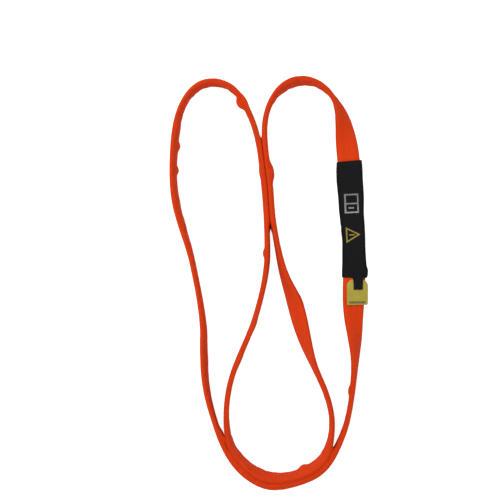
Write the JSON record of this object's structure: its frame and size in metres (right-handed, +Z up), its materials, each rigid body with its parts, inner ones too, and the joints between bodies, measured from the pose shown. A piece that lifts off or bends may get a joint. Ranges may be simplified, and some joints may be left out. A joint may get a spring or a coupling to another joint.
{
  "type": "webbing loop lanyard",
  "caption": "Endless loop of orange tubular webbing over a yarn core, laid in three lobes on its edge, with a black label sleeve and a hinged yellow identity tag.",
  "frame": {"origin": "centre of the part's plan outline, on the plane that it lies on", "axes": "+Z up, +Y along the loop's length towards the two upper arches, +X towards the limb that carries the label sleeve"},
  "size_m": [0.2567, 0.5318, 0.0291],
  "materials": {
    "jacket_webbing": "matte",
    "core_yarn": "matte",
    "orange_thread": "matte",
    "label_webbing": "matte",
    "black_thread": "matte",
    "white_print": "matte",
    "yellow_print": "matte",
    "tag_sheet": "matte",
    "tag_ink": "matte"
  },
  "bodies": {
    "loop": {"jacket": "jacket_webbing", "core_strand_1": "core_yarn", "core_strand_2": "core_yarn", "core_strand_3": "core_yarn", "jacket_stitch_1": "orange_thread", "jacket_stitch_2": "orange_thread", "label_sleeve": "label_webbing", "sleeve_hem_stitch_lower": "black_thread", "sleeve_hem_stitch_upper": "black_thread", "book_print": "white_print", "book_mark_print": "white_print", "triangle_print": "yellow_print", "triangle_mark_print": "yellow_print"},
    "tag_flap": {"tag_tab": "label_webbing", "tab_stitch": "black_thread", "id_tag": "tag_sheet", "tag_line_print": "tag_ink"}
  },
  "joints": [
    {"name": "tag_fold", "type": "hinge", "parent": "loop", "child": "tag_flap", "pos_m": [0.1152, 0.0054, 0.0102], "axis": [-1, 0, 0], "range_deg": [0, 150]}
  ]
}
